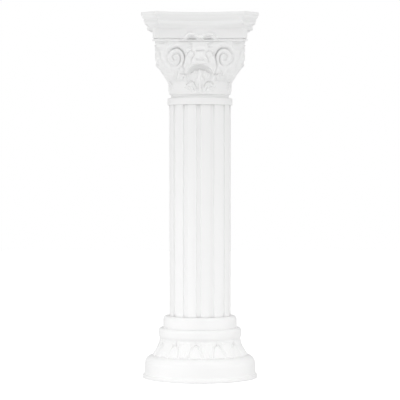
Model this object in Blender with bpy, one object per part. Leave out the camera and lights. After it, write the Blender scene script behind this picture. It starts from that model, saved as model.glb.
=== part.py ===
"""A Roman-style pedestal column in white moulded plastic, about 0.88 m tall.

Three hollow mouldings stand on one another: a round base, a fluted shaft and a square-topped capital.
Each one is a stack of rings about the column's axis, down the inside of its wall and up the outside.
Metres, +Z up. The origin is on the floor, at the middle of the base, and the front looks along -Y.
"""

import math

import bmesh
import bpy
from mathutils import Vector

# Driving sizes of the whole column
COLUMN_HEIGHT = 0.880  # the shaft fills what the base and the capital leave of it
FIT_GAP = 0.0003  # air left between two mouldings that touch
WALL = 0.003

# Base: heights stack up from the floor
LIP_HEIGHT = 0.0095
DRUM_HEIGHT = 0.0275
SHOULDER_HEIGHT = 0.018
LEAF_BAND_HEIGHT = 0.0395
STEP_HEIGHT = 0.0275
COLLAR_HEIGHT = 0.029
LIP_DEPTH = 0.0045  # how far the lip stands out of the drum
FOOT_RADIUS = 0.140
SHOULDER_DEPTH = 0.021  # how far the leaf band's foot lies inside the drum
STEP_WIDTH = 0.0115  # how far the step stands out of the collar
COLLAR_WIDTH = 0.0145  # how far the collar stands out of the shaft
BAND_HOLLOW = 0.0035  # how far the leaf band's top lies inside the step
FLARE_REACH = 0.8  # the share of the leaf band's height that its flare takes
FLARE_BEND = 1.2
BASE_SOCKET_DEPTH = 0.026
LEDGE_WIDTH = 0.012  # the inner ledges that the shaft's two ends meet
LEAF_REPEATS = 12
LEAF_RELIEF = 0.0045
LEAF_TURN = math.radians(-5.5)  # the front tongue's place, from straight ahead

# Shaft
SHAFT_RADIUS = 0.075
FLUTE_COUNT = 14
FLUTE_WIDTH = 0.0125
FLUTE_FLOOR = 0.0095
FLUTE_DEPTH = 0.0045
FLUTE_TURN = math.radians(-2.8)  # the front flute's place, from straight ahead

# Capital: heights stack down from the column's top
CAPITAL_SOCKET_DEPTH = 0.0145
NECK_RING_HEIGHT = 0.015
NECK_RING_WIDTH = 0.004  # how far the neck ring stands out of the shaft
NECK_GROOVE_HEIGHT = 0.007
NECK_HEIGHT = 0.0346
BELL_HEIGHT = 0.0864
FILLET_HEIGHT = 0.012
BLOCK_HEIGHT = 0.025
ROLL_HEIGHT = 0.0175  # with the cove that carries the roll
SLAB_HEIGHT = 0.0205
BELL_HALF = 0.0985
BELL_WAIST = 0.088  # the bell's depth in the middle of a face, at its top
FILLET_HALF = 0.114
BLOCK_HALF = 0.1125
ROLL_HALF = 0.1315
SLAB_HALF = 0.140
BLOCK_CURVE = 0.013  # how far the block's sides sink in the middle
ROLL_CURVE = 0.028  # how far the roll's and the slab's sides sink
SLAB_CURVE = 0.032
CORNER_SHARE = 0.75  # where the bell's and slab's cut corners begin, as a share of half a side
BLOCK_CORNER = 0.93  # the block's corners are cut much less

# Carving on each face of the bell, as shares of the bell's height
SCROLL_REACH = 0.635  # from the middle of the face to the scroll's eye
SCROLL_LEVEL = 0.58
SCROLL_RADIUS = 0.355
SCROLL_SQUEEZE = 0.73  # a scroll is narrower than it is tall
SCROLL_TURNS = 1.6
SCROLL_SHRINK = 0.62  # how fast each turn of a scroll winds in
SCROLL_BAND = 0.12
SCROLL_TAPER = 0.6  # how much of the band's width is gone at the eye
SCROLL_LEAD = 0.1  # the share of the band that runs level from the plaque
SCROLL_RELIEF = 0.045
SCROLL_STEPS = 13
SCROLL_EDGE = 0.4  # the band's section, as shares of its relief: edges, crown and hidden foot
SCROLL_CROWN = 1.1
SCROLL_ROOT = -1.6
SCROLL_ROOT_WIDTH = 0.9
DISC_REACH = 1.1  # the flat disc behind a scroll, as shares of its radius
DISC_EDGE = 0.3
PLAQUE_HALF = 0.385
PLAQUE_RELIEF = 0.175
ARCH_LEVEL = 0.475  # the plaque's lower edge arches over the shell
ARCH_FALL = 0.24
SHELL_HALF = 0.29
SHELL_TOP = 0.31
SHELL_FOOT = -0.21
SHELL_RELIEF = 0.12
LEAF_INNER = 0.36
LEAF_TOP = 0.40
CORNER_RELIEF = 0.06
BOW_REACH = 0.22
BOW_LEVEL = 1.15
BOW_RELIEF = 0.10

# How finely curved surfaces are faceted
ROUND_COLUMNS = 44
INNER_COLUMNS = 32
FACE_STEP = math.radians(4.6)

PLASTIC = (0.87, 0.87, 0.86, 1.0)
ROUGHNESS = 0.42

base_height = (
    LIP_HEIGHT + DRUM_HEIGHT + SHOULDER_HEIGHT + LEAF_BAND_HEIGHT + STEP_HEIGHT + COLLAR_HEIGHT
)
roll_top = COLUMN_HEIGHT - SLAB_HEIGHT
block_top = roll_top - ROLL_HEIGHT
fillet_top = block_top - BLOCK_HEIGHT
bell_top = fillet_top - FILLET_HEIGHT
neck_top = bell_top - BELL_HEIGHT
shaft_top = neck_top - NECK_HEIGHT - NECK_GROOVE_HEIGHT - NECK_RING_HEIGHT
corner_angle = math.atan(CORNER_SHARE)
quarter = math.pi / 2


def even_angles(count):
    return [2 * math.pi * index / count for index in range(count)]


def round_ring(radius, level, count=ROUND_COLUMNS):
    """A plain circle about the axis, as (angle, point) pairs. Angle 0 is straight ahead, at -Y."""
    return [
        (angle, Vector((radius * math.sin(angle), -radius * math.cos(angle), level)))
        for angle in even_angles(count)
    ]


def shaped_ring(angles, level, radius_at):
    """A ring whose radius follows radius_at(angle)."""
    ring = []
    for angle in angles:
        radius = radius_at(angle)
        ring.append((angle, Vector((radius * math.sin(angle), -radius * math.cos(angle), level))))
    return ring


def ellipse_points(start, end, count):
    """Points from start to end, both (radius, height), along a quarter ellipse that leaves start upright."""
    points = []
    for index in range(1, count + 1):
        turn = quarter * index / count
        radius = end[0] + (start[0] - end[0]) * math.cos(turn)
        level = start[1] + (end[1] - start[1]) * math.sin(turn)
        points.append((radius, level))
    return points


def zip_rings(mesh, lower, upper):
    """Faces between two rings. The rings may have different numbers of points, in rising order of angle."""
    if len(upper) == 1 or len(lower) == 1:
        ring, tip = (lower, upper[0]) if len(upper) == 1 else (upper, lower[0])
        for index, (_, vertex) in enumerate(ring):
            following = ring[(index + 1) % len(ring)][1]
            if ring is lower:
                mesh.faces.new((vertex, following, tip[1]))
            else:
                mesh.faces.new((following, vertex, tip[1]))
        return
    low, high = 0, 0
    while low < len(lower) or high < len(upper):
        low_next = lower[low + 1][0] if low + 1 < len(lower) else 2 * math.pi + lower[0][0]
        high_next = upper[high + 1][0] if high + 1 < len(upper) else 2 * math.pi + upper[0][0]
        low_here = lower[low % len(lower)][1]
        high_here = upper[high % len(upper)][1]
        low_there = lower[(low + 1) % len(lower)][1]
        high_there = upper[(high + 1) % len(upper)][1]
        if low < len(lower) and high < len(upper) and abs(low_next - high_next) < 1e-9:
            mesh.faces.new((low_here, low_there, high_there, high_here))
            low += 1
            high += 1
        elif low < len(lower) and (low_next < high_next or high >= len(upper)):
            mesh.faces.new((low_here, low_there, high_here))
            low += 1
        else:
            mesh.faces.new((low_here, high_there, high_here))
            high += 1


def stack_object(name, rings, material, looped=True):
    """One closed moulding from rings that go down the inside of its wall and up the outside."""
    mesh = bmesh.new()
    placed = [[(angle, mesh.verts.new(point)) for angle, point in ring] for ring in rings]
    for lower, upper in zip(placed, placed[1:]):
        zip_rings(mesh, lower, upper)
    if looped:
        zip_rings(mesh, placed[-1], placed[0])
    data = bpy.data.meshes.new(name)
    mesh.to_mesh(data)
    mesh.free()
    data.materials.append(material)
    data.shade_smooth()
    data.set_sharp_from_angle(angle=math.radians(32))
    made = bpy.data.objects.new(name, data)
    bpy.context.collection.objects.link(made)
    return made


def white_plastic(name):
    material = bpy.data.materials.new(name)
    material.use_nodes = True
    shader = material.node_tree.nodes["Principled BSDF"]
    shader.inputs["Base Color"].default_value = PLASTIC
    shader.inputs["Roughness"].default_value = ROUGHNESS
    shader.inputs["Metallic"].default_value = 0.0
    return material


def make_base():
    """The foot moulding: a lipped drum, a flared band of leaves, a step and the shaft's collar."""
    drum_radius = FOOT_RADIUS - LIP_DEPTH
    drum_top = LIP_HEIGHT + DRUM_HEIGHT
    band_foot = drum_top + SHOULDER_HEIGHT
    band_top = band_foot + LEAF_BAND_HEIGHT
    step_top = band_top + STEP_HEIGHT
    collar_radius = SHAFT_RADIUS + COLLAR_WIDTH
    step_radius = collar_radius + STEP_WIDTH
    foot_radius = drum_radius - SHOULDER_DEPTH
    top_radius = step_radius - BAND_HOLLOW
    socket_radius = (SHAFT_RADIUS + FIT_GAP) / math.cos(math.pi / INNER_COLUMNS)
    ledge_radius = SHAFT_RADIUS - LEDGE_WIDTH
    ledge_level = base_height - BASE_SOCKET_DEPTH
    step_edge = STEP_HEIGHT * 0.2
    collar_edge = COLLAR_HEIGHT * 0.24

    def band_radius(share):
        """The flare behind the leaves, from its foot at share 0 to its top at share 1."""
        rest = max(0.0, 1.0 - share / FLARE_REACH)
        return top_radius + (foot_radius - top_radius) * rest**FLARE_BEND

    def leaf_height(turn, share):
        """Tongues and ribbed leaves by turns: the tongue is at turn 0 and the leaf at half a turn."""
        aside = abs(turn - round(turn))
        tongue_edge = 0.25 * max(0.0, 1.0 - (share / 0.72) ** 2) ** 0.5
        leaf_edge = 0.25 + 0.1 * math.sin(math.pi * share) - 0.13 * share**3
        from_leaf = 0.5 - aside
        tongue = 0.85 * max(0.0, 1.0 - (aside / max(tongue_edge, 0.01)) ** 2) ** 0.5
        rib = 0.72 + 0.28 * math.cos(2 * math.pi * from_leaf / 0.16) * (1.0 - 0.5 * share)
        leaf = rib * max(0.0, 1.0 - (from_leaf / leaf_edge) ** 4)
        return max(tongue, leaf)

    leaf_columns = sorted(
        (LEAF_TURN + 2 * math.pi * (repeat + place) / LEAF_REPEATS) % (2 * math.pi)
        for repeat in range(LEAF_REPEATS)
        for place in (0.0, 0.16, 0.25, 0.36, 0.5, 0.64, 0.75, 0.84)
    )

    def leaf_ring(share, relief):
        def radius_at(angle):
            turn = (angle - LEAF_TURN) * LEAF_REPEATS / (2 * math.pi)
            return band_radius(share) + relief * leaf_height(turn, share)

        return shaped_ring(leaf_columns, band_foot + share * LEAF_BAND_HEIGHT, radius_at)

    inside = [
        (socket_radius, base_height),
        (socket_radius, ledge_level),
        (ledge_radius, ledge_level),
        (ledge_radius, ledge_level - WALL),
        (collar_radius - WALL, ledge_level - WALL - COLLAR_WIDTH * 0.1),
        (step_radius - WALL, step_top - WALL),
        (top_radius - WALL, band_top - WALL),
        (band_radius(0.45) - WALL, band_foot + 0.45 * LEAF_BAND_HEIGHT - WALL * 0.7),
        (band_radius(0.15) - WALL, band_foot + 0.15 * LEAF_BAND_HEIGHT - WALL * 0.7),
        (foot_radius, band_foot - WALL),
        (drum_radius - WALL - SHOULDER_DEPTH * 0.2, drum_top + SHOULDER_HEIGHT * 0.55),
        (drum_radius - WALL, drum_top),
        (drum_radius - WALL, 0.0),
    ]
    below = [
        (FOOT_RADIUS, 0.0),
        (FOOT_RADIUS, LIP_HEIGHT * 0.7),
        (drum_radius, LIP_HEIGHT),
        (drum_radius, drum_top),
        *ellipse_points((drum_radius, drum_top), (foot_radius + 1.2 * LEAF_RELIEF, band_foot), 3),
    ]
    above = [
        (step_radius, band_top),
        (step_radius, step_top - step_edge),
        *ellipse_points((step_radius, step_top - step_edge), (step_radius - step_edge, step_top), 2),
        (collar_radius - COLLAR_WIDTH * 0.06, step_top),
        (collar_radius + COLLAR_WIDTH * 0.05, step_top + COLLAR_HEIGHT * 0.25),
        (collar_radius, base_height - collar_edge),
        *ellipse_points((collar_radius, base_height - collar_edge), (collar_radius - collar_edge, base_height), 2),
    ]
    rings = [round_ring(radius, level, INNER_COLUMNS) for radius, level in inside]
    rings += [round_ring(radius, level) for radius, level in below]
    rings += [leaf_ring(share, LEAF_RELIEF) for share in (0.01, 0.24, 0.5, 0.78, 0.99)]
    rings += [round_ring(radius, level) for radius, level in above]
    return stack_object("base", rings, white_plastic("base plastic"))


def make_shaft():
    """The fluted tube. Its wall follows the flutes, and its two ends hide in the base and the capital."""
    inner_swell = 0.8 * WALL  # the wall stays about as thick beside a flute as under it

    def outline(grow):
        """Flute by flute: in at one edge, across the floor, out at the other, then the band's two points."""
        ring = []
        edge = FLUTE_WIDTH / 2 / SHAFT_RADIUS + grow / SHAFT_RADIUS
        floor = FLUTE_FLOOR / 2 / SHAFT_RADIUS + grow / SHAFT_RADIUS
        pitch = 2 * math.pi / FLUTE_COUNT
        for index in range(FLUTE_COUNT):
            middle = FLUTE_TURN + pitch * index
            ring.append((middle - floor, FLUTE_DEPTH))
            ring.append((middle + floor, FLUTE_DEPTH))
            ring.append((middle + edge, 0.0))
            ring.append((middle + edge + (pitch - 2 * edge) / 3, 0.0))
            ring.append((middle + pitch - edge - (pitch - 2 * edge) / 3, 0.0))
            ring.append((middle + pitch - edge, 0.0))
        return sorted((angle % (2 * math.pi), depth) for angle, depth in ring)

    def fluted_ring(grow, inset, level):
        ring = []
        for angle, depth in outline(grow):
            radius = SHAFT_RADIUS - inset - depth
            ring.append((angle, Vector((radius * math.sin(angle), -radius * math.cos(angle), level))))
        return ring

    bottom = base_height - BASE_SOCKET_DEPTH + FIT_GAP
    top = shaft_top + CAPITAL_SOCKET_DEPTH - FIT_GAP
    rings = [
        fluted_ring(inner_swell, WALL, top),
        fluted_ring(inner_swell, WALL, bottom),
        fluted_ring(0.0, 0.0, bottom),
        fluted_ring(0.0, 0.0, top),
    ]
    return stack_object("shaft", rings, white_plastic("shaft plastic"))


def face_angle(angle):
    """The angle from the middle of the nearest of the four faces."""
    return (angle + quarter / 2) % quarter - quarter / 2


def side_depth(across, half, curve):
    """How far out a concave side lies, at a distance across from the side's middle."""
    corner = CORNER_SHARE * half
    return half - curve * (1.0 - (across / corner) ** 2)


def square_radius(angle, half, curve, corner=CORNER_SHARE):
    """The radius of a square with concave sides and cut corners."""
    turned = abs(face_angle(angle))
    if turned > math.atan(corner):
        return half * (1 + corner) / (math.sin(turned) + math.cos(turned))
    middle = half - curve
    bend = curve * math.tan(turned) ** 2 / (corner * half) ** 2
    depth = 2 * middle / (1 + math.sqrt(max(0.0, 1 - 4 * bend * middle)))
    return depth / math.cos(turned)


def bell_share(level):
    return (level - neck_top) / BELL_HEIGHT


def bell_form(level):
    """Half the bell's width over its corners, and how far its sides sink, at one level."""
    share = max(0.0, bell_share(level))
    round_half = SHAFT_RADIUS * math.cos(corner_angle)
    half = round_half + (BELL_HALF - round_half) * min(1.0, share / 0.62) ** 0.52
    middle = SHAFT_RADIUS + (BELL_WAIST - SHAFT_RADIUS) * min(1.0, share / 0.6) ** 0.8
    return half, half - middle


def soft(value, width):
    """0 below zero and 1 above width, with a smooth rise between."""
    share = min(1.0, max(0.0, value / width))
    return share * share * (3 - 2 * share)


def arch_level(across):
    """The plaque's lower edge, as a share of the bell's height."""
    return ARCH_LEVEL - ARCH_FALL * min(1.0, abs(across) / PLAQUE_HALF) ** 2


def carving(across, share, over_arch):
    """How far the carving stands out of the bell, in bell heights. Places are in bell heights too."""
    aside = abs(across)
    height = 0.0
    if over_arch and aside < PLAQUE_HALF:
        dome = (1.0 - (aside / PLAQUE_HALF) ** 2) ** 0.5
        lobe = 1.0 - 0.16 * math.cos(7.0 * math.pi * share) * soft(aside, PLAQUE_HALF)
        height = PLAQUE_RELIEF * dome * lobe * soft(1.06 - share, 0.12)
    rise = max(0.0, (share - SHELL_FOOT) / (SHELL_TOP - SHELL_FOOT))
    shell = SHELL_HALF * rise**0.75 + 0.001
    if not over_arch and rise < 1.0 and aside < shell:
        flute = 1.0 + 0.22 * math.cos(5 * math.pi * aside / shell)
        fall = 1.0 - 0.5 * (aside / shell) ** 2
        height = SHELL_RELIEF * (0.25 + 0.75 * rise) * flute * fall * soft(1.0 - rise, 0.12)
    leaf = soft(aside - LEAF_INNER - 0.1 * share, 0.05) * soft(share, 0.05) * soft(LEAF_TOP - share, 0.15)
    veins = 0.75 + 0.25 * math.cos(14 * math.pi * (aside - 0.2 * share))
    height = max(height, CORNER_RELIEF * leaf * veins)
    out = (aside - SCROLL_REACH) / (SCROLL_SQUEEZE * SCROLL_RADIUS)
    up = (share - SCROLL_LEVEL) / SCROLL_RADIUS
    return max(height, CORNER_RELIEF * soft(DISC_REACH - math.hypot(out, up), DISC_EDGE))


def scroll_path(part):
    """Across, level and half-width of a scroll's band, from the plaque at part 0 to the eye at part 1."""
    turn = 2 * math.pi * SCROLL_TURNS * max(0.0, (part - SCROLL_LEAD) / (1 - SCROLL_LEAD))
    radius = SCROLL_RADIUS * math.exp(-SCROLL_SHRINK * turn / (2 * math.pi))
    across = SCROLL_REACH + SCROLL_SQUEEZE * radius * math.sin(turn)
    across -= (SCROLL_REACH - 0.9 * PLAQUE_HALF) * max(0.0, 1 - part / SCROLL_LEAD)
    level = SCROLL_LEVEL + radius * math.cos(turn)
    return across, level, SCROLL_BAND / 2 * (1.0 - SCROLL_TAPER * part)


def bell_surface(across, level):
    """The depth of the bell's face under a point, where the cut corner takes over past the side's end."""
    half, curve = bell_form(level)
    if across > CORNER_SHARE * half:
        return half * (1 + CORNER_SHARE) - across
    return side_depth(across, half, curve)


def make_scroll_bands():
    """The raised band of every scroll: a tapering strip that leaves the plaque and winds in to its eye."""
    mesh = bmesh.new()
    outline = (
        (1.0, SCROLL_EDGE),
        (0.0, SCROLL_CROWN),
        (-1.0, SCROLL_EDGE),
        (-SCROLL_ROOT_WIDTH, SCROLL_ROOT),
        (SCROLL_ROOT_WIDTH, SCROLL_ROOT),
    )
    stations = [scroll_path(step / SCROLL_STEPS) for step in range(SCROLL_STEPS + 1)]
    for face in range(4):
        for side in (1, -1):
            sections = []
            for index, (across, level, half_band) in enumerate(stations):
                ahead = stations[min(index + 1, SCROLL_STEPS)]
                behind = stations[max(index - 1, 0)]
                run, climb = ahead[0] - behind[0], ahead[1] - behind[1]
                length = math.hypot(run, climb)
                section = []
                for offset, lift in outline:
                    place = across - climb / length * offset * half_band
                    share = level + run / length * offset * half_band
                    height = neck_top + share * BELL_HEIGHT
                    depth = bell_surface(place * BELL_HEIGHT, height)
                    depth += (CORNER_RELIEF + SCROLL_RELIEF * lift) * BELL_HEIGHT
                    x = side * place * BELL_HEIGHT
                    turned = face * quarter
                    section.append(
                        mesh.verts.new(
                            (
                                x * math.cos(turned) + depth * math.sin(turned),
                                x * math.sin(turned) - depth * math.cos(turned),
                                height,
                            )
                        )
                    )
                sections.append(section)
            for here, there in zip(sections, sections[1:]):
                for index, vertex in enumerate(here):
                    following = (index + 1) % len(here)
                    mesh.faces.new((vertex, here[following], there[following], there[index]))
            mesh.faces.new(sections[0])
            mesh.faces.new(sections[-1])
    bmesh.ops.recalc_face_normals(mesh, faces=mesh.faces)
    data = bpy.data.meshes.new("scroll bands")
    mesh.to_mesh(data)
    mesh.free()
    bands = bpy.data.objects.new("scroll_bands", data)
    bands.hide_render = True
    bands.display_type = "WIRE"
    bpy.context.collection.objects.link(bands)
    return bands


def make_capital():
    """The head moulding: neck ring, neck, carved bell, fillet, block, roll and concave-sided slab."""
    socket_radius = (SHAFT_RADIUS + FIT_GAP) / math.cos(math.pi / INNER_COLUMNS)
    ledge_radius = SHAFT_RADIUS - LEDGE_WIDTH
    ledge_level = shaft_top + CAPITAL_SOCKET_DEPTH
    ring_radius = SHAFT_RADIUS + NECK_RING_WIDTH
    ring_top = shaft_top + NECK_RING_HEIGHT
    groove_top = ring_top + NECK_GROOVE_HEIGHT

    def on_faces(columns):
        """The same columns on all four faces, in rising order of angle."""
        return sorted((face * quarter + column) % (2 * math.pi) for face in range(4) for column in columns)

    def evenly(reach):
        return on_faces([reach * step / 4 for step in range(-4, 5)])

    block_angle = math.atan(BLOCK_CORNER)
    face_columns = [step * FACE_STEP for step in range(-7, 8)]
    carved_columns = on_faces([*face_columns, -corner_angle, corner_angle, quarter / 2])
    bow_columns = on_faces([*face_columns, -block_angle, block_angle])
    block_columns = evenly(block_angle)
    slab_columns = evenly(corner_angle)
    cove_columns = sorted({*block_columns, *on_faces([-corner_angle, corner_angle])})

    def bell_ring(row, over_arch):
        """One row of the carved bell. Rows bend along the arch, where row is 1, and the top row is 2."""
        ring = []
        for angle in carved_columns:
            turned = face_angle(angle)
            face = angle - turned
            share = row
            for _ in range(3):
                half, curve = bell_form(neck_top + share * BELL_HEIGHT)
                radius = square_radius(angle, half, curve) if share > 0 else SHAFT_RADIUS
                across = radius * math.sin(turned)
                arch = arch_level(across / BELL_HEIGHT)
                below = SHELL_FOOT + (arch - SHELL_FOOT) * min(row, 1.0)
                share = below + (0.99 - arch) * max(0.0, row - 1.0)
            depth = radius * math.cos(turned)
            if abs(turned) < corner_angle + 1e-6:
                depth += BELL_HEIGHT * carving(across / BELL_HEIGHT, share, over_arch)
            else:
                bulge = soft(share, 0.05) * soft(LEAF_TOP + 0.2 - share, 0.2)
                across += math.copysign(BELL_HEIGHT * CORNER_RELIEF * 0.7 * bulge, turned)
                depth += BELL_HEIGHT * CORNER_RELIEF * 0.7 * bulge
            x = across * math.cos(face) + depth * math.sin(face)
            y = across * math.sin(face) - depth * math.cos(face)
            ring.append((angle, Vector((x, y, neck_top + share * BELL_HEIGHT))))
        return ring

    def block_ring(columns, half, level):
        """One level of the fillet or block, with the bow of two leaves in the middle of each face."""

        def radius_at(angle):
            radius = square_radius(angle, half, BLOCK_CURVE, BLOCK_CORNER)
            aside = abs(radius * math.sin(face_angle(angle))) / BELL_HEIGHT
            lean = bell_share(level) - BOW_LEVEL - 0.2 * (BOW_REACH - aside)
            bow = 1.0 - math.hypot((aside - BOW_REACH) / BOW_REACH, lean / 0.17)
            return radius + BELL_HEIGHT * BOW_RELIEF * soft(bow, 0.7)

        return shaped_ring(columns, level, radius_at)

    def slab_ring(half, level, wall=0.0):
        share = max(0.0, (half - ROLL_HALF) / (SLAB_HALF - ROLL_HALF))
        curve = ROLL_CURVE + (SLAB_CURVE - ROLL_CURVE) * share
        return shaped_ring(slab_columns, level, lambda angle: square_radius(angle, half, curve) - wall)

    def cove_ring(share, level):
        """The hollow under the roll: from the block's outline at share 0 to the roll's at share 1."""
        half = BLOCK_HALF + (ROLL_HALF - BLOCK_HALF) * share
        curve = BLOCK_CURVE + (ROLL_CURVE - BLOCK_CURVE) * share
        corner = BLOCK_CORNER + (CORNER_SHARE - BLOCK_CORNER) * share
        return shaped_ring(cove_columns, level, lambda angle: square_radius(angle, half, curve, corner))

    def inner_block_ring(level):
        return shaped_ring(
            block_columns,
            level,
            lambda angle: square_radius(angle, BLOCK_HALF, BLOCK_CURVE, BLOCK_CORNER) - WALL,
        )

    def inner_bell_ring(share):
        """The wall is measured upwards where the bell's foot is nearly level."""
        level = neck_top + BELL_HEIGHT * share
        half, curve = bell_form(level - 2 * WALL)
        return shaped_ring(slab_columns, level, lambda angle: square_radius(angle, half, curve) - WALL)

    slab_width = SLAB_HALF - ROLL_HALF
    throat_half = ROLL_HALF - 0.3 * slab_width
    fillet_foot = bell_top + FILLET_HEIGHT * 0.2
    ceiling = COLUMN_HEIGHT - WALL
    rings = [
        [(0.0, Vector((0, 0, ceiling)))],
        slab_ring(SLAB_HALF, ceiling, WALL),
        slab_ring(SLAB_HALF, roll_top + SLAB_HEIGHT * 0.75, WALL),
        slab_ring(throat_half, roll_top + SLAB_HEIGHT * 0.2, WALL),
        slab_ring(throat_half, block_top + ROLL_HEIGHT * 0.72, WALL),
        inner_block_ring(block_top + ROLL_HEIGHT * 0.15),
        inner_block_ring(fillet_foot + WALL),
        inner_bell_ring(bell_share(fillet_foot + WALL)),
    ]
    rings += [inner_bell_ring(share) for share in (0.6, 0.3, 0.13)]
    inside = [
        (SHAFT_RADIUS - WALL, neck_top),
        (SHAFT_RADIUS - WALL, ledge_level + WALL),
        (ledge_radius, ledge_level + WALL),
        (ledge_radius, ledge_level),
        (socket_radius, ledge_level),
        (socket_radius, shaft_top),
    ]
    rings += [round_ring(radius, level, INNER_COLUMNS) for radius, level in inside]
    throat = SHAFT_RADIUS - WALL * 0.2
    outside = [
        (socket_radius + WALL * 0.8, shaft_top),
        (ring_radius, shaft_top + NECK_RING_HEIGHT * 0.25),
        (ring_radius, shaft_top + NECK_RING_HEIGHT * 0.75),
        (ring_radius - NECK_RING_WIDTH * 0.3, ring_top),
        (throat, ring_top + NECK_GROOVE_HEIGHT * 0.3),
        (throat, ring_top + NECK_GROOVE_HEIGHT * 0.8),
        (SHAFT_RADIUS, groove_top),
    ]
    rings += [round_ring(radius, level) for radius, level in outside]
    rings += [bell_ring(row, False) for row in (0.0, 0.22, 0.42, 0.55, 0.7, 0.85, 0.98)]
    rings += [bell_ring(row, True) for row in (1.02, 1.2, 1.4, 1.62, 1.84, 2.0)]
    rings += [
        block_ring(bow_columns, FILLET_HALF, fillet_foot),
        block_ring(bow_columns, FILLET_HALF, fillet_top - FILLET_HEIGHT * 0.15),
        block_ring(bow_columns, BLOCK_HALF, fillet_top),
        block_ring(bow_columns, BLOCK_HALF, fillet_top + BLOCK_HEIGHT * 0.35),
        block_ring(block_columns, BLOCK_HALF, block_top),
    ]
    rings += [
        cove_ring(0.3, block_top + ROLL_HEIGHT * 0.12),
        cove_ring(0.75, block_top + ROLL_HEIGHT * 0.42),
    ]
    profile = [
        (ROLL_HALF, block_top + ROLL_HEIGHT * 0.62),
        (ROLL_HALF, block_top + ROLL_HEIGHT * 0.84),
        (throat_half, roll_top),
        (ROLL_HALF + 0.25 * slab_width, roll_top + SLAB_HEIGHT * 0.2),
        (ROLL_HALF + 0.7 * slab_width, roll_top + SLAB_HEIGHT * 0.42),
        (SLAB_HALF, roll_top + SLAB_HEIGHT * 0.62),
        (SLAB_HALF, COLUMN_HEIGHT - SLAB_HEIGHT * 0.06),
        (SLAB_HALF - SLAB_HEIGHT * 0.06, COLUMN_HEIGHT),
    ]
    rings += [slab_ring(half, level) for half, level in profile]
    rings.append([(0.0, Vector((0, 0, COLUMN_HEIGHT)))])
    capital = stack_object("capital", rings, white_plastic("capital plastic"), looped=False)
    union = capital.modifiers.new("scroll bands", "BOOLEAN")
    union.operation = "UNION"
    union.object = make_scroll_bands()
    return capital


for old in list(bpy.data.objects):
    bpy.data.objects.remove(old, do_unlink=True)

make_base()
make_shaft()
make_capital()
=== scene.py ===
# %% [markdown]
# # A fluted pedestal column in white moulded plastic
#
# Two joint lines in the photograph show that the column is three mouldings: a round foot, a fluted tube and
# a square head, taken here to be hollow and to push together. The ornament follows stone capitals, but it is
# thin white plastic, so its edges are soft and its shadows are pale.
#
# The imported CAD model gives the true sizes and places. Each of its three solids is replaced here by one
# finely carved skin that keeps the solid's profile, because scrolls and leaves are far too fine for a solid.

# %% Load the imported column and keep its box
import math

import bpy
import numpy as np
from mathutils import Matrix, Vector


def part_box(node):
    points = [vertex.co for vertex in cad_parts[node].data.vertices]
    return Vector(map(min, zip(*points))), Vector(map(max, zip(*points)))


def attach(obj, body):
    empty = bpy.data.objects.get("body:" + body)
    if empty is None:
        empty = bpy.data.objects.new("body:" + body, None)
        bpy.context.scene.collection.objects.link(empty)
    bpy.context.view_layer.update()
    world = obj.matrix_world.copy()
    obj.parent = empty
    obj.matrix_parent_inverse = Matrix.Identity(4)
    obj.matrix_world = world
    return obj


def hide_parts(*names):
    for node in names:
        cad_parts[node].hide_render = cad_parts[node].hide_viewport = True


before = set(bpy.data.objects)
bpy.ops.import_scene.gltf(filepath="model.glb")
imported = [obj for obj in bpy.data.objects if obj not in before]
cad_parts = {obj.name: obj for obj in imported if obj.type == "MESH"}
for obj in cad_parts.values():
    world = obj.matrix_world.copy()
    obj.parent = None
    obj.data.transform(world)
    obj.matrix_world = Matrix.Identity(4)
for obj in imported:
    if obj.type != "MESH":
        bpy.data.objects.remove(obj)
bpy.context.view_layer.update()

# %% [markdown]
# ## Levels and widths
#
# Everything on the column stacks up from the floor, so its levels are named once and each moulding is built
# between two of them. They are the solids' own values, but for the groove over the neck ring, which is cut a
# little higher and deeper so that it throws a dark line. Carving is easier to think of in millimetres on the
# face of the moulding, so MM turns those into metres.

# %% The column's own sizes, in metres
MM = 0.001
WALL = 3 * MM
FOOT_RADIUS = 0.140
BAND_FOOT, BAND_TOP, BASE_TOP = 0.055, 0.0945, 0.151
SHAFT_RADIUS = 0.075
SHAFT_FOOT, SHAFT_HEAD = 0.1253, 0.6762
COLLAR_BORE = 0.0758
NECK_RING_FOOT, NECK_RING_TOP, NECK_GROOVE_TOP = 0.662, 0.6788, 0.6866
BELL_FOOT, BELL_TOP = 0.7186, 0.805
BLOCK_TOP, ROLL_TOP, COLUMN_TOP = 0.842, 0.8595, 0.880
BELL_HALF, BLOCK_HALF, ROLL_HALF, SLAB_HALF = 0.0985, 0.1125, 0.1315, 0.140
QUARTER = math.pi / 2
for node in ("base", "shaft", "capital"):
    low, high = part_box(node)
    print(node, "stands from", round(low[2], 4), "to", round(high[2], 4), "m")

# %% [markdown]
# ## How a moulding becomes a mesh
#
# A turned moulding can be spun from a profile, but the head is square, so Blender's Spin can't make it. All
# three are rings of points about the column's axis instead, from the inside of the wall, over its edge and up
# the outside. Rings lie in blocks. A plain block has a fifth of the columns of a carved one, and a fan of
# triangles joins the two, which keeps the skin closed without wasting faces on flat walls.

# %% Points from turn, radius and level
def ring_points(turn, radius, level):
    """Points with x = radius sin(turn), y = -radius cos(turn), z = level. Turn 0 is straight ahead."""
    turn, radius, level = np.broadcast_arrays(turn, radius, level)
    return np.stack([radius * np.sin(turn), -radius * np.cos(turn), level], axis=-1)


def turned_block(profile, turns):
    """One plain ring for each (radius, level) of a profile."""
    profile = np.array(profile, float)
    return ring_points(turns[None, :], profile[:, :1], profile[:, 1:])


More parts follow.
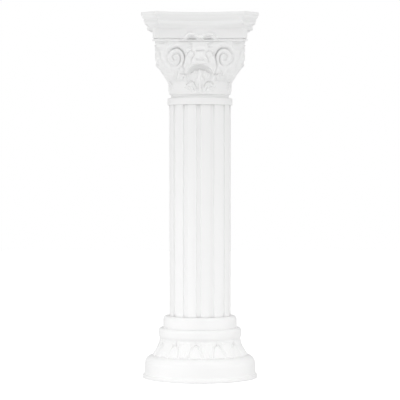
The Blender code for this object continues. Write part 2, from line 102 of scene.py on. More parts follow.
# %% Faces between rings
def faces_between(lower, upper):
    """Faces that join two rings of vertex numbers. One ring may have a whole multiple of the other's count,
    or be a single point: fine edge f then meets coarse point (f + half the multiple) // multiple."""
    if len(lower) == len(upper):
        return np.stack([lower, np.roll(lower, -1), np.roll(upper, -1), upper], axis=1).tolist()
    fine, coarse = (lower, upper) if len(lower) > len(upper) else (upper, lower)
    if len(coarse) == 1:
        fan = np.stack([fine, np.roll(fine, -1), np.repeat(coarse, len(fine))], axis=1)
        return (fan if fine is lower else fan[:, ::-1]).tolist()
    many = len(fine) // len(coarse)
    edge = np.arange(len(fine))
    near = ((edge + many // 2) // many) % len(coarse)
    fan = np.stack([fine, np.roll(fine, -1), coarse[near]], axis=1)
    point = np.arange(len(coarse))
    meet = ((point + 1) * many - many // 2) % len(fine)
    back = np.stack([np.roll(coarse, -1), coarse, fine[meet]], axis=1)
    both = np.concatenate([fan, back])
    return (both if fine is lower else both[:, ::-1]).tolist()


SHARP_ANGLE = math.radians(50)


def moulded_skin(name, blocks, looped):
    """One closed mesh from blocks of rings, each an array of rings x columns x 3. Looped, its last ring meets
    its first. Edges bent more than the sharp angle stay crisp, and the rest are shaded smooth."""
    points = np.concatenate([block.reshape(-1, 3) for block in blocks])
    rings, start = [], 0
    for block in blocks:
        for _ in range(block.shape[0]):
            rings.append(np.arange(start, start + block.shape[1]))
            start += block.shape[1]
    faces = []
    for lower, upper in zip(rings, rings[1:]):
        faces += faces_between(lower, upper)
    if looped:
        faces += faces_between(rings[-1], rings[0])
    data = bpy.data.meshes.new(name)
    data.from_pydata(points.tolist(), [], faces)
    data.update()
    data.shade_smooth()
    data.set_sharp_from_angle(angle=SHARP_ANGLE)
    made = bpy.data.objects.new(name, data)
    bpy.context.collection.objects.link(made)
    triangles = sum(len(face) - 2 for face in faces)
    print(name, len(points), "points,", triangles, "triangles")
    return made


# %% Small curves that the carving is made of
def soft(value, width):
    """0 below zero, 1 above width, and 3s^2 - 2s^3 between."""
    share = np.clip(value / width, 0, 1)
    return share * share * (3 - 2 * share)


def dome(distance):
    """Height of a ball's cap: the root of 1 - distance squared, and 0 beyond 1."""
    return np.sqrt(np.clip(1 - distance * distance, 0, 1))


def stroke(across, rise, path, width):
    """1 along a bent line and falling off beside it as exp(-(distance / width)^2)."""
    nearest = np.full(np.shape(across), np.inf)
    for (x0, y0), (x1, y1) in zip(path, path[1:]):
        run, climb = x1 - x0, y1 - y0
        share = np.clip(((across - x0) * run + (rise - y0) * climb) / (run * run + climb * climb), 0, 1)
        nearest = np.minimum(nearest, np.hypot(across - x0 - share * run, rise - y0 - share * climb))
    return np.exp(-((nearest / width) ** 2))


def curve(points, count=24):
    """A smooth path through a few points, as a chain of short straight pieces (Catmull-Rom)."""
    points = np.array([points[0], *points, points[-1]], float)
    path = []
    for before, start, end, after in zip(points, points[1:], points[2:], points[3:]):
        t = np.linspace(0, 1, count // (len(points) - 3) + 1, endpoint=False)[:, None]
        path.append(
            0.5 * (2 * start + (end - before) * t + (2 * before - 5 * start + 4 * end - after) * t**2
                   + (3 * start - before - 3 * end + after) * t**3)
        )
    return np.concatenate([*path, points[-1:]])


def rounded(corners, radius, count=5):
    """A profile whose inner corners are rounded: each is a quadratic arc that starts radius before it."""
    corners = [np.array(corner, float) for corner in corners]
    profile = [corners[0]]
    for before, corner, after in zip(corners, corners[1:], corners[2:]):
        back, ahead = before - corner, after - corner
        reach = min(radius, 0.45 * np.linalg.norm(back), 0.45 * np.linalg.norm(ahead))
        start = corner + back / np.linalg.norm(back) * reach
        end = corner + ahead / np.linalg.norm(ahead) * reach
        t = np.linspace(0, 1, count)[:, None]
        profile.extend((1 - t) ** 2 * start + 2 * t * (1 - t) * corner + t**2 * end)
    profile.append(corners[-1])
    return profile


# %% [markdown]
# ## The foot: drum, leaf band, step and collar
#
# The foot is turned work with one carved belt. Twelve plain tongues, each under an arch, take turns with
# twelve ribbed leaves whose tips bend out under the step. Leaves could be modelled one by one and set around
# the foot, but a moulding has no gaps behind them. So the belt is a height above the flare, as a function
# that repeats every twelfth of a turn.

# %% The leaf band's relief
LEAF_COUNT = 12
LEAF_RELIEF = 3.2 * MM
LEAF_TURN = math.radians(-5.5)
FLARE_FOOT, FLARE_TOP, FLARE_REACH = 0.1145, 0.0975, 0.8


def band_radius(share):
    """The flare behind the leaves: it falls from the foot's radius as (1 - share / reach)^1.2."""
    rest = np.clip(1 - share / FLARE_REACH, 0, 1)
    return FLARE_TOP + (FLARE_FOOT - FLARE_TOP) * rest**1.2


def arch_edge(share, half, top):
    """Half the width of an arch, as a share of one repeat: half (1 - (share / top)^2)^0.55. A sliver is added
    so that nothing is divided by zero over its top."""
    return half * np.clip(1 - (share / top) ** 2, 0, 1) ** 0.55 + 1e-3


def leaf_relief(turn, share):
    """Height of tongues and leaves, 0 to 1. The tongue is at turn 0, the leaf at half a turn."""
    aside = np.abs(turn - np.round(turn))
    tongue_edge = arch_edge(share, 0.25, 0.71)
    tongue = 0.8 * soft(1 - aside / tongue_edge, 0.28) * (0.8 + 0.2 * dome(aside / tongue_edge))
    rim = 0.95 * np.exp(-(((aside - arch_edge(share, 0.31, 0.84)) / 0.03) ** 2)) * soft(0.88 - share, 0.1)
    from_leaf = 0.5 - aside
    leaf_edge = 0.14 + 0.17 * np.sin(np.pi * np.clip(share, 0, 0.75) / 1.3)
    ribs = 0.78 + 0.22 * np.cos(2 * np.pi * from_leaf / 0.115) * soft(0.62 - share, 0.3)
    bend = 0.95 + 0.2 * np.exp(-(((share - 0.78) / 0.12) ** 2))
    notch = 1 - 0.5 * np.exp(-((from_leaf / 0.05) ** 2)) * soft(share - 0.8, 0.1)
    leaf = ribs * bend * notch * soft(1 - from_leaf / leaf_edge, 0.3) * soft(0.99 - share, 0.13)
    return np.maximum(np.maximum(tongue, rim), leaf) * soft(share, 0.05)


# %% The foot's rings
round_fine = np.linspace(0, 2 * math.pi, 720, endpoint=False)
round_coarse = round_fine[::5]
band_share = np.linspace(0, 1, 56)[:, None]
band_turn = (round_fine[None, :] - LEAF_TURN) * LEAF_COUNT / (2 * math.pi)
leaf_band = ring_points(
    round_fine[None, :],
    band_radius(band_share) + LEAF_RELIEF * leaf_relief(band_turn, band_share),
    BAND_FOOT + band_share * (BAND_TOP - BAND_FOOT - 0.2 * MM),
)
DRUM_BORE = 0.1318
foot_inside = [
    (COLLAR_BORE, BASE_TOP), (COLLAR_BORE, 0.125), (0.063, 0.125), (0.063, 0.122),
    (0.0865, 0.1206), (0.0965, 0.118), (0.0935, 0.0915), (0.1008, 0.0707), (0.1078, 0.0588), (0.1145, 0.0515),
    (0.1283, 0.0455), (DRUM_BORE, 0.036), (DRUM_BORE, 0.0),
]
foot_below = rounded(
    [(DRUM_BORE, 0.0), (FOOT_RADIUS, 0.0), (FOOT_RADIUS, 0.0078), (0.1357, 0.0098), (0.1348, 0.034),
     (0.1334, 0.0425), (0.1292, 0.0495), (0.1225, 0.0538), (0.1165, BAND_FOOT)],
    1.8 * MM,
)[1:]
foot_above = rounded(
    [(0.0965, BAND_TOP + 0.0005), (0.0985, 0.0975), (0.1005, 0.1005), (0.1012, 0.1050), (0.1012, 0.1155),
     (0.0995, 0.1198), (0.0955, 0.1219), (0.0885, 0.1210), (0.0897, 0.1250), (0.0895, 0.1440),
     (0.0872, 0.1492), (0.0825, BASE_TOP), (COLLAR_BORE, BASE_TOP)],
    2.2 * MM,
)[1:-1]
foot = moulded_skin(
    "foot_moulding",
    [
        turned_block(foot_inside, round_coarse),
        turned_block(foot_below, round_coarse),
        leaf_band,
        turned_block(foot_above, round_coarse),
    ],
    looped=True,
)
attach(foot, "root")
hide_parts("base")

# %% [markdown]
# ## The shaft: a fluted tube
#
# The tube is straight, so one outline carried from bottom to top makes it. Fourteen shallow flutes have a
# flat floor and steep rounded sides, and the plain bands between them are wider than the flutes. They are cut
# less deep than in the solid, because the photograph shows them faint. A cosine would be too soft at the
# edges, so the depth is a steep smoothstep between floor and band instead.

# %% The flutes' outline and the tube
FLUTE_COUNT = 14
FLUTE_TURN = math.radians(-2.8)
FLUTE_DEPTH = 3.2 * MM
FLUTE_HALF = 6.5 * MM
FLUTE_FLOOR_HALF = 4.3 * MM


def flute_turns():
    """Turns of one pitch, crowded where the flute's sides are steep, repeated for every flute."""
    side = np.linspace(FLUTE_FLOOR_HALF - 0.4 * MM, FLUTE_HALF + 0.5 * MM, 9)
    floor = np.linspace(-side[0], side[0], 7)[1:-1]
    half_pitch = math.pi * SHAFT_RADIUS / FLUTE_COUNT
    band = np.linspace(side[-1], 2 * half_pitch - side[-1], 10)[1:-1]
    one = np.concatenate([-side[::-1], floor, side, band])
    steps = np.arange(FLUTE_COUNT)[:, None] * 2 * half_pitch
    return (one[None, :] + steps).ravel() / SHAFT_RADIUS + FLUTE_TURN


def flute_depth(turns):
    """How deep the outline lies at each turn: a smoothstep from the band down to the floor."""
    pitch = 2 * math.pi / FLUTE_COUNT
    aside = np.abs((turns - FLUTE_TURN + pitch / 2) % pitch - pitch / 2) * SHAFT_RADIUS
    return FLUTE_DEPTH * (1 - soft(aside - FLUTE_FLOOR_HALF, FLUTE_HALF - FLUTE_FLOOR_HALF))


shaft_turns = flute_turns()
outer_radius = SHAFT_RADIUS - flute_depth(shaft_turns)
shaft_levels = np.linspace(SHAFT_FOOT, SHAFT_HEAD, 12)
tube_inside = ring_points(
    shaft_turns[None, :], outer_radius[None, :] - WALL, shaft_levels[::-1][:, None]
)
tube_outside = ring_points(shaft_turns[None, :], outer_radius[None, :], shaft_levels[:, None])
tube = moulded_skin("fluted_tube", [tube_inside, tube_outside], looped=True)
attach(tube, "root")
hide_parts("shaft")

# %% [markdown]
# ## The head: its plain form first
#
# Under all its ornament the head is a bell that grows from round to square, a fillet and a block with
# slightly hollow sides, and a slab with deeply hollow sides and cut corners. Each is a ring whose radius is
# a function of turn and level. Four faces are alike, so only one is worked out, from -45 to +45 degrees, and
# turned. Columns lie evenly across the face, one of them on each edge of the cut corners, which keeps those
# crisp.

# %% Columns of one face
CORNER_SHARE = 0.75
BLOCK_CORNER = 0.93
corner_turn, block_turn = math.atan(CORNER_SHARE), math.atan(BLOCK_CORNER)


def face_columns():
    """160 turns across one face: even along the flat side, and even in angle over each cut corner."""
    side = np.arctan(np.linspace(-CORNER_SHARE, CORNER_SHARE, 131))
    cut = np.linspace(corner_turn, block_turn, 11)[1:]
    tip = np.linspace(block_turn, QUARTER / 2, 6)[1:]
    return np.concatenate([-tip[::-1], -cut[::-1], side, cut, tip[:-1]])


face_fine = face_columns()
face_coarse = face_fine[::5]
print("columns on a face:", len(face_fine), "fine,", len(face_coarse), "plain")


def four_faces(across, depth, level):
    """Turns one face's points (across to the right, depth outwards) to all four sides, in rising turn."""
    faces = []
    for face in range(4):
        sine, cosine = math.sin(face * QUARTER), math.cos(face * QUARTER)
        x, y = across * cosine + depth * sine, across * sine - depth * cosine
        faces.append(np.stack([x, y, level], axis=-1))
    return np.concatenate(faces, axis=1)


# %% Hollow-sided squares and the bell
MIDDLE_SWELL = 13 * MM
NECK_STEP = 1.2 * MM


def square_radius(turn, half, sag, corner=CORNER_SHARE):
    """Radius of a square whose sides sink by sag in the middle and whose corners are cut straight.
    On a side, depth d solves d = half - sag + sag (d tan(turn) / (corner half))^2."""
    turned = np.abs(turn)
    middle = half - sag
    bend = sag * np.tan(turned) ** 2 / (corner * half) ** 2
    depth = 2 * middle / (1 + np.sqrt(np.clip(1 - 4 * bend * middle, 0, None)))
    cut = half * (1 + corner) / (np.sin(turned) + np.cos(turned))
    return np.where(turned > np.arctan(corner) + 1e-9, cut, depth / np.cos(turned))


def bell_form(level):
    """Half the bell's width over its corners, and how far its sides sink. Both follow a power of the height
    and level off three fifths of the way up."""
    share = np.clip((level - BELL_FOOT) / (BELL_TOP - BELL_FOOT), 0, None)
    round_half = SHAFT_RADIUS * math.cos(corner_turn)
    half = round_half + (BELL_HALF - round_half) * np.minimum(1, share / 0.62) ** 0.52
    middle = SHAFT_RADIUS + MIDDLE_SWELL * np.minimum(1, share / 0.6) ** 0.8
    return half, half - middle


def bell_radius(turn, level):
    """Round below the bell's foot, where the neck steps in a little, and square above it."""
    half, sag = bell_form(level)
    neck = SHAFT_RADIUS - NECK_STEP * soft(BELL_FOOT - level, 4 * MM)
    return np.where(level > BELL_FOOT, square_radius(turn, half, sag), neck)


# %% [markdown]
# ## Carving the bell
#
# A sculptor would build this relief in clay. Blender's sculpt brushes could do the same by hand, but code
# can't repeat a hand, so each ornament is a height above the bell as a function of two distances in
# millimetres: across, from the middle of the face, and rise, above the bell's foot. Taller ornaments win over
# lower ones, and thin strokes cut the grooves and veins.
#
# The one real overhang is the hood of the middle leaf, which bends over the shell. Rows of points follow its
# arched edge, so the surface can step straight back under it and catch a true shadow.

# %% The scroll
SCROLL_PLACE = (58.0, 52.5)
SCROLL_START = 27.3
SCROLL_PITCH = 13.3
SCROLL_SQUEEZE = 0.8
SCROLL_TOP = 92.5


def scroll_relief(across, rise):
    """A rounded band between grooves on a spiral whose radius shrinks evenly: radius = start - pitch x turns.
    The groove is deepest over the scroll's top. The outermost round leaves the middle leaf as a level band,
    and a small ball is the scroll's eye. Around it shows the leaf that it grows from."""
    inward = (SCROLL_PLACE[0] - across) / SCROLL_SQUEEZE
    up = rise - SCROLL_PLACE[1]
    radius = np.hypot(inward, up)
    turn = (np.arctan2(up, inward) / (2 * np.pi)) % 1
    wound = (SCROLL_START - radius) / SCROLL_PITCH - turn
    inner = (1 - wound + np.floor(wound)) * SCROLL_PITCH
    outer = (wound - np.floor(wound)) * SCROLL_PITCH
    lead = (inward > 0) & (up > 0) & (wound < 0)
    inner = np.where(lead, -wound * SCROLL_PITCH, inner)
    outer = np.where(lead, SCROLL_TOP - rise, outer)
    outer = np.where(~lead & (wound < 0), (wound + 1) * SCROLL_PITCH, outer)
    place = np.clip(inner, 0, None) / (np.clip(inner, 0, None) + np.clip(outer, 0.01, None))
    near = np.minimum(np.abs(inner), np.where(wound < 0, np.inf, np.abs(outer)))
    groove = 2.0 + 3.6 * soft(radius - 9, 10) * (0.3 + 0.7 * soft(up + 8, 16))
    band = 6.6 + 3.4 * np.sin(np.pi * place) - groove * np.exp(-((near / 2.1) ** 2))
    band = band + 1.2 * (1 - soft(radius - 4, 22))
    eye = soft(5.4 - radius, 2.4)
    band = band * (1 - eye) + (8.2 + 2.0 * dome(radius / 6)) * eye
    behind = 6.0 * soft(rise - 12, 12)
    return behind + (band - behind) * np.where(wound < 0, soft(outer, 3.2), 1)


# %% The middle leaf's hood
ARCH_FOOT, ARCH_HEIGHT, ARCH_HALF = 14, 24.5, 33


def arch_rise(across):
    """The hood's lower edge over the shell: foot + height (1 - (across / half)^2)^0.7, and level beyond."""
    return ARCH_FOOT + ARCH_HEIGHT * np.clip(1 - (across / ARCH_HALF) ** 2, 0, 1) ** 0.7


def hood_relief(across, rise):
    """The bent-over leaf: a broad dome whose edge bulges at its side lobes, with veins and a midrib."""
    aside = np.abs(across)
    edge = np.interp(rise, [10, 17, 25, 35, 46, 56, 66, 78, 92], [33, 34.6, 38, 42, 39, 36.5, 35, 35, 34])
    peak = np.interp(rise, [14, 30, 40, 52, 66, 78, 92], [8, 14, 20, 19, 16.5, 14.5, 12])
    body = peak * (0.46 * soft(edge - aside, 4.5) + 0.54 * dome(0.97 * aside / edge))
    veins = 3.6 * stroke(aside, rise, curve([(33, 90), (27, 88), (19, 85)]), 2.0)
    veins += 4.2 * stroke(aside, rise, curve([(34, 75.5), (27, 76.5), (20, 79.5)]), 2.0)
    veins += 4.2 * stroke(aside, rise, curve([(31, 60), (27, 65), (20, 69.5)]), 2.0)
    veins += 3.4 * stroke(aside, rise, curve([(16, 66), (14, 58), (19, 51), (20, 43)]), 2.2)
    veins += 3.4 * stroke(aside, rise, [(0, 69.3), (7.5, 69.3)], 2.2)
    veins += 3.4 * stroke(aside, rise, [(0, 48), (8, 48.3)], 2.0)
    body = body + 2.4 * dome(np.hypot(aside - 22, rise - 61) / 7.5)
    body = body + 2.4 * dome(np.hypot(aside / 12, (rise - 75.5) / 5.5))
    body = body + 2.4 * stroke(aside, rise, [(0, 63), (0, 54)], 4.5)
    body = body + 2.2 * stroke(aside, rise, curve([(0, 41), (15, 37), (26, 28), (33, 16)]), 2.8)
    lip = soft(rise - arch_rise(across), 2.6)
    return (body - veins) * (0.86 + 0.14 * lip) * soft(edge - aside, 2.4)


# %% The shell under the hood, and its curls
def shell_relief(across, rise):
    """A fan with a scalloped top, rays and a midrib, between two rims, over a pair of curls on the neck.
    Behind it, under the hood, the bell is hollowed."""
    aside = np.abs(across)
    top = 29.5 - 10.0 * (aside / 25) ** 2 + 1.2 * np.cos(aside / 2.1)
    half = np.interp(rise, [-24, -14, -7, -2, 3, 12, 26], [3, 4, 7, 17, 23, 25, 24])
    swell = np.interp(rise, [-24, -4, 4, 14, 28], [1.2, 1.6, 3.2, 7.0, 3.5])
    fan = swell * (0.5 * soft(half - aside, 3.5) + 0.5 * dome(0.98 * aside / half))
    ray = np.arctan2(aside, rise + 26)
    fan = fan - 0.34 * swell * (0.5 - 0.5 * np.cos(ray * 2 * np.pi / 0.24)) * soft(aside - 2, 4)
    hollow = -9.0 * soft(34 - aside, 5) * soft(rise - 4, 12)
    fan = hollow + (fan - hollow) * soft(top - rise, 4.5)
    fan = fan + 1.8 * stroke(aside, rise, [(0, 22), (0, -22)], 2.0)
    fan = fan - 2.8 * stroke(aside, rise, curve([(6, 9), (9.5, 1), (6.5, -9)]), 2.4)
    rim = 6.5 * stroke(aside, rise, curve([(38, 24), (36, 11), (32, 1)]), 3.0) * soft(rise + 6, 14)
    curl = 2.4 * dome(np.hypot((aside - 20) / 8.0, (rise + 10) / 7.0))
    curl = np.maximum(curl, 2.1 * stroke(aside, rise, curve([(20, -12), (13, -17), (6, -25)]), 3.0))
    leaf = 2.2 * dome(np.hypot((aside - 30) / 7.5, (rise + 18.5) / 4.8))
    lobe = 1.8 * dome(np.hypot((aside - 18) / 5.5, (rise + 21) / 4.0))
    form = np.maximum(np.maximum(fan, rim), np.maximum(curl, np.maximum(leaf, lobe)))
    over_curl = curve([(31, -8), (23, -1.2), (15.7, -2.2), (12.4, -7), (7.2, -18)])
    cuts = 3.2 * stroke(aside, rise, over_curl, 1.7)
    cuts += 2.4 * stroke(aside, rise, curve([(26, -14), (20.5, -12.5), (16.5, -16), (13, -23)]), 1.5)
    cuts += 1.6 * stroke(aside, rise, [(22, -22), (36, -15)], 1.4)
    cuts += 2.0 * stroke(aside, rise, curve([(3.2, -8), (3.4, -16), (5, -24)]), 1.4)
    return form - cuts


# %% The leaf that wraps each corner, under the scrolls
def corner_leaf_relief(across, rise):
    """A broad leaf from the neck up to the scroll. Its fingers fan out of its foot, and its edge is lobed."""
    aside = np.abs(across)
    inner = np.interp(rise, [-2, 1.5, 8.6, 17, 25, 35, 45], [45, 41, 36, 35, 37, 39, 42])
    foot = -1.0 - 1.8 * np.cos((aside - 46) / 2.7)
    finger = np.arctan2(aside - 60, rise + 16)
    body = 1.6 + 4.6 * soft(rise, 20)
    body = body + 1.3 * np.cos(finger * 2 * np.pi / 0.34) * soft(rise, 8)
    body = body + 2.4 * dome(np.hypot((aside - 44) / 5, (rise - 24) / 8))
    body = body + 2.4 * dome(np.hypot((aside - 45) / 6, (rise - 9) / 6))
    body = body + 2.0 * dome(np.hypot((aside - 64) / 7, (rise - 10) / 6))
    leaf = body * soft(aside - inner, 3.0) * soft(rise - foot, 2.6) * soft(54 - rise, 16)
    cuts = 4.6 * stroke(aside, rise, curve([(81, 31), (75, 27), (68, 25)]), 2.0)
    cuts += 3.4 * stroke(aside, rise, curve([(76, 22), (70, 19), (63, 21)]), 1.8)
    cuts += 3.8 * stroke(aside, rise, curve([(49, 31), (51.5, 25), (52, 14)]), 1.9)
    cuts += 3.0 * stroke(aside, rise, curve([(62, 17), (59, 12), (57, 3)]), 1.7)
    cuts += 2.4 * stroke(aside, rise, curve([(74, 14), (71, 8), (70, 2)]), 1.7)
    cuts += 3.0 * stroke(aside, rise, curve([(36, 16), (41, 15), (47, 17)]), 1.7)
    return leaf - cuts * soft(rise, 4)


# %% The tip of that leaf, over the scrolls
CORNER_PLACE = 86


def corner_tip_relief(across, rise):
    """The leaf's tip fills the corner over the scrolls: three lobes one over another, parted by notches."""
    from_corner = CORNER_PLACE - np.abs(across)
    tip = 4.6 * soft(24 - from_corner, 8) * soft(rise - 22, 14)
    tip = tip + 1.4 * soft(13 - from_corner, 6) * soft(rise - 52, 10)
    tip = tip + 1.5 * np.cos((rise - 86) * 2 * np.pi / 15) * soft(14 - from_corner, 8) * soft(rise - 46, 8)
    notches = 3.0 * stroke(from_corner, rise, [(-4, 78), (9, 79)], 1.9)
    notches += 2.6 * stroke(from_corner, rise, [(-4, 63), (8, 61)], 1.9)
    notches += 2.0 * stroke(from_corner, rise, [(-4, 46), (6, 43)], 1.9)
    return tip - notches


# %% The bow of two leaves over the block's foot
def bow_relief(across, rise):
    """Two leaves that rise from the middle, arch over and fall outwards, with a bud between them."""
    aside = np.abs(across)
    arch = curve([(2, 99), (11, 104), (20, 106.8), (28, 105.5), (36, 98.5)])
    leaf = 9.0 * stroke(aside, rise, arch, 4.4)
    leaf = leaf + 3.0 * stroke(aside, rise, curve([(16, 109.5), (24, 110.5), (31, 107)]), 2.2)
    cuts = 5.2 * stroke(aside, rise, curve([(8, 101), (14, 103.2), (21, 104.4), (27, 102.5)]), 1.7)
    cuts += 1.6 * stroke(aside, rise, [(12, 98), (31, 98)], 2.2)
    outline = curve([(12, 108.5), (19, 112.5), (28, 112.5), (36, 106), (38, 99)])
    cuts += 2.6 * stroke(aside, rise, outline, 1.7)
    bud = 6.0 * dome(np.hypot(aside / 5.0, (rise - 100.5) / 7))
    plume = 1.6 * dome(np.hypot(aside / 12, (rise - 113) / 9))
    return np.maximum(np.maximum(leaf, bud), plume) - cuts


# %% Rows of the carved face
# Rows count from 0 at the carving's foot to 1 at the hood's edge and 2 at its top. Two of them lie close on
# either side of 1, which is where the surface steps back. A point's level sets the bell's radius there, that
# sets how far across it is, and that sets the edge's level again, so a few rounds settle the three.
CARVED_FOOT, CARVED_TOP = -28.0, 92.3
below = np.linspace(0, 0.993, 54)
above = np.linspace(1.004, 2, 44)
rows = np.concatenate([below, above])[:, None]
rise = np.zeros((len(rows), len(face_fine)))
for _ in range(4):
    radius = bell_radius(face_fine[None, :], BELL_FOOT + rise * MM)
    across = radius * np.sin(face_fine)[None, :]
    arch = arch_rise(across / MM)
    lower = CARVED_FOOT + (arch - CARVED_FOOT) * np.minimum(rows, 1)
    rise = np.where(rows < 1, lower, arch + (CARVED_TOP - arch) * (rows - 1))
level = BELL_FOOT + rise * MM
depth = radius * np.cos(face_fine)[None, :]
print("carved rows:", len(below), "under the hood's edge,", len(above), "over it")

# %% Lay the ornaments over one another
# Under the hood the scroll and corner leaves drop away towards the middle, which leaves the shell its hollow.
place = np.abs(across) / MM
side = np.maximum(corner_leaf_relief(place, rise), corner_tip_relief(place, rise))
side = np.maximum(side, scroll_relief(place, rise))
under = np.maximum(shell_relief(place, rise), side - 16 * (1 - soft(place - 31, 8)))
over = np.maximum(hood_relief(place, rise), side)
relief = np.where(rows < 1, under, over) * MM
print("bell relief from", round(float(relief.min() / MM), 1), "to", round(float(relief.max() / MM), 1), "mm")


def lean(turn):
    """Relief stands straight out of a face, and turns towards the diagonal over the cut corner: its angle is
    45 degrees times a soft step from 30 to 45 degrees of turn."""
    return np.sign(turn) * (QUARTER / 2) * soft(np.abs(turn) - math.radians(30), math.radians(15))


way = lean(face_fine)[None, :]
carved_bell = four_faces(across + relief * np.sin(way), depth + relief * np.cos(way), level)

# %% [markdown]
# ## The head's skin
#
# The bell's carved rows sit between plain ones: the neck ring and neck below, the fillet, block, roll and
# slab above, and a smooth wall inside. The wall stands well back from the bell, because the hollow under the
# hood is deep. The bow of leaves crosses the line between fillet and block, so those rows are fine as well.

# %% Fillet and block, with the bow carved over them
BLOCK_SAG, ROLL_SAG, SLAB_SAG = 13 * MM, 28 * MM, 32 * MM
BOW_FOOT, BOW_TOP = 101, 118
block_profile = np.array(
    rounded(
        [(0.1100, 92.6), (0.1124, 93.2), (0.1135, 94.6), (0.1128, 96.6), (0.1070, 98.2), (0.1121, 99.8),
         (BLOCK_HALF, 114.0)],
        1.2,
        4,
    )
)
fillet_rise = block_profile[:-1, 1][block_profile[:-1, 1] < BOW_FOOT]
fine_rise = np.concatenate([fillet_rise, np.linspace(BOW_FOOT + 0.5, BOW_TOP, 16)])
fine_half = np.interp(fine_rise, block_profile[:, 1], block_profile[:, 0])
block_radius = square_radius(face_fine[None, :], fine_half[:, None], BLOCK_SAG, BLOCK_CORNER)
block_across = block_radius * np.sin(face_fine)[None, :]
bow = bow_relief(block_across / MM, fine_rise[:, None]) * MM
block_depth = block_radius * np.cos(face_fine)[None, :] + bow
block_level = BELL_FOOT + np.broadcast_to(fine_rise[:, None], block_radius.shape) * MM
carved_block = four_faces(block_across, block_depth, block_level)
print("the bow stands out", round(float(bow.max() / MM), 1), "mm")


# %% Plain rings of the head
def plain_rings(radius, level):
    """Coarse rings of all four faces, from one face's radii and a level for each ring."""
    level = np.broadcast_to(level, radius.shape)
    return four_faces(radius * np.sin(face_coarse), radius * np.cos(face_coarse), level)


def square_block(profile, sag_at, corner=CORNER_SHARE, wall=0.0):
    """Plain square rings from (half, level) pairs, with a sag for each, moved inwards by the wall."""
    half, level = (np.array(values)[:, None] for values in zip(*profile))
    return plain_rings(square_radius(face_coarse[None, :], half, sag_at(half), corner) - wall, level)


def slab_sag(half):
    """The sides sink as the roll's do at its width, as the slab's do at its own, and evenly between."""
    return ROLL_SAG + (SLAB_SAG - ROLL_SAG) * np.clip((half - ROLL_HALF) / (SLAB_HALF - ROLL_HALF), 0, 1)


def cove_block(steps):
    """The hollow under the roll: the block's outline at share 0 grows evenly into the roll's at share 1."""
    share, level = (np.array(values)[:, None] for values in zip(*steps))
    half = BLOCK_HALF + (ROLL_HALF - BLOCK_HALF) * share
    sag = BLOCK_SAG + (ROLL_SAG - BLOCK_SAG) * share
    corner = BLOCK_CORNER + (CORNER_SHARE - BLOCK_CORNER) * share
    return plain_rings(square_radius(face_coarse[None, :], half, sag, corner), level)


# %% Profiles of the neck, the cove and the slab
neck_below = rounded(
    [(0.0777, NECK_RING_FOOT), (0.079, NECK_RING_FOOT + 0.0008), (0.079, NECK_RING_TOP - 0.001),
     (0.0770, NECK_RING_TOP), (0.0705, NECK_RING_TOP + 0.0006), (0.0700, NECK_GROOVE_TOP),
     (0.0742, NECK_GROOVE_TOP + 0.0008), (0.0740, 0.6905)],
    0.9 * MM,
)
cove_steps = [(0.0, BLOCK_TOP), (0.12, 0.8430), (0.38, 0.8452), (0.68, 0.8478), (0.9, 0.8500)]
slab_profile = rounded(
    [(0.1305, 0.8507), (0.1318, 0.8530), (0.1318, 0.8568), (0.1297, ROLL_TOP), (0.1330, 0.8630),
     (0.1372, 0.8668), (0.1380, 0.8712), (SLAB_HALF, 0.8724), (SLAB_HALF, 0.8790), (0.1388, COLUMN_TOP),
     (0.120, COLUMN_TOP)],
    2.0 * MM,
)

# %% The wall inside
SLAB_INSIDE_TOP = COLUMN_TOP - WALL
BELL_SETBACK, BELL_SETBACK_DOWN = 11.5 * MM, 6 * MM
NECK_BORE, LEDGE_BORE = 0.0665, 0.063
face_turns = np.concatenate([face * QUARTER + face_coarse for face in range(4)])
inner_levels = np.array([0.803, 0.78, 0.76, 0.745, 0.733])[:, None]
inner_half, inner_sag = bell_form(inner_levels - BELL_SETBACK_DOWN)
inner_bell = square_radius(face_coarse[None, :], inner_half, inner_sag) - BELL_SETBACK
inner_wall = np.concatenate(
    [
        square_block(
            [(SLAB_HALF, SLAB_INSIDE_TOP), (SLAB_HALF, 0.8749), (0.129, 0.8636), (0.129, 0.8555)],
            slab_sag,
            wall=WALL,
        ),
        square_block(
            [(BLOCK_HALF, 0.8446), (BLOCK_HALF, 0.824), (0.105, 0.8185), (0.105, 0.8104)],
            lambda half: BLOCK_SAG,
            BLOCK_CORNER,
            WALL,
        ),
        plain_rings(inner_bell, inner_levels),
        turned_block(
            [(0.068, BELL_FOOT), (NECK_BORE, 0.6895), (NECK_BORE, 0.6795), (LEDGE_BORE, 0.6795),
             (LEDGE_BORE, 0.6765), (0.0756, 0.6765), (0.0756, NECK_RING_FOOT)],
            face_turns,
        ),
    ]
)
print("inside wall:", len(inner_wall), "rings of", inner_wall.shape[1], "points")

# %% The whole head
head = moulded_skin(
    "carved_head",
    [
        np.array([[[0, 0, SLAB_INSIDE_TOP]]]),
        inner_wall,
        turned_block(neck_below, face_turns),
        carved_bell,
        carved_block,
        cove_block(cove_steps),
        square_block(slab_profile, slab_sag),
        np.array([[[0, 0, COLUMN_TOP]]]),
    ],
    looped=False,
)
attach(head, "root")
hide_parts("capital")

# %% [markdown]
# ## White moulded plastic
#
# The column is one plastic throughout: a satin white with the faint orange-peel of a blasted mould, and a
# slow mottle where it is a trace glossier. A picture of the grain would repeat, so both come from noise. They
# are the same effect on all three pieces, so they are one node group, which gives out values only. The shader
# itself stays in each material, where its plain numbers can be read.

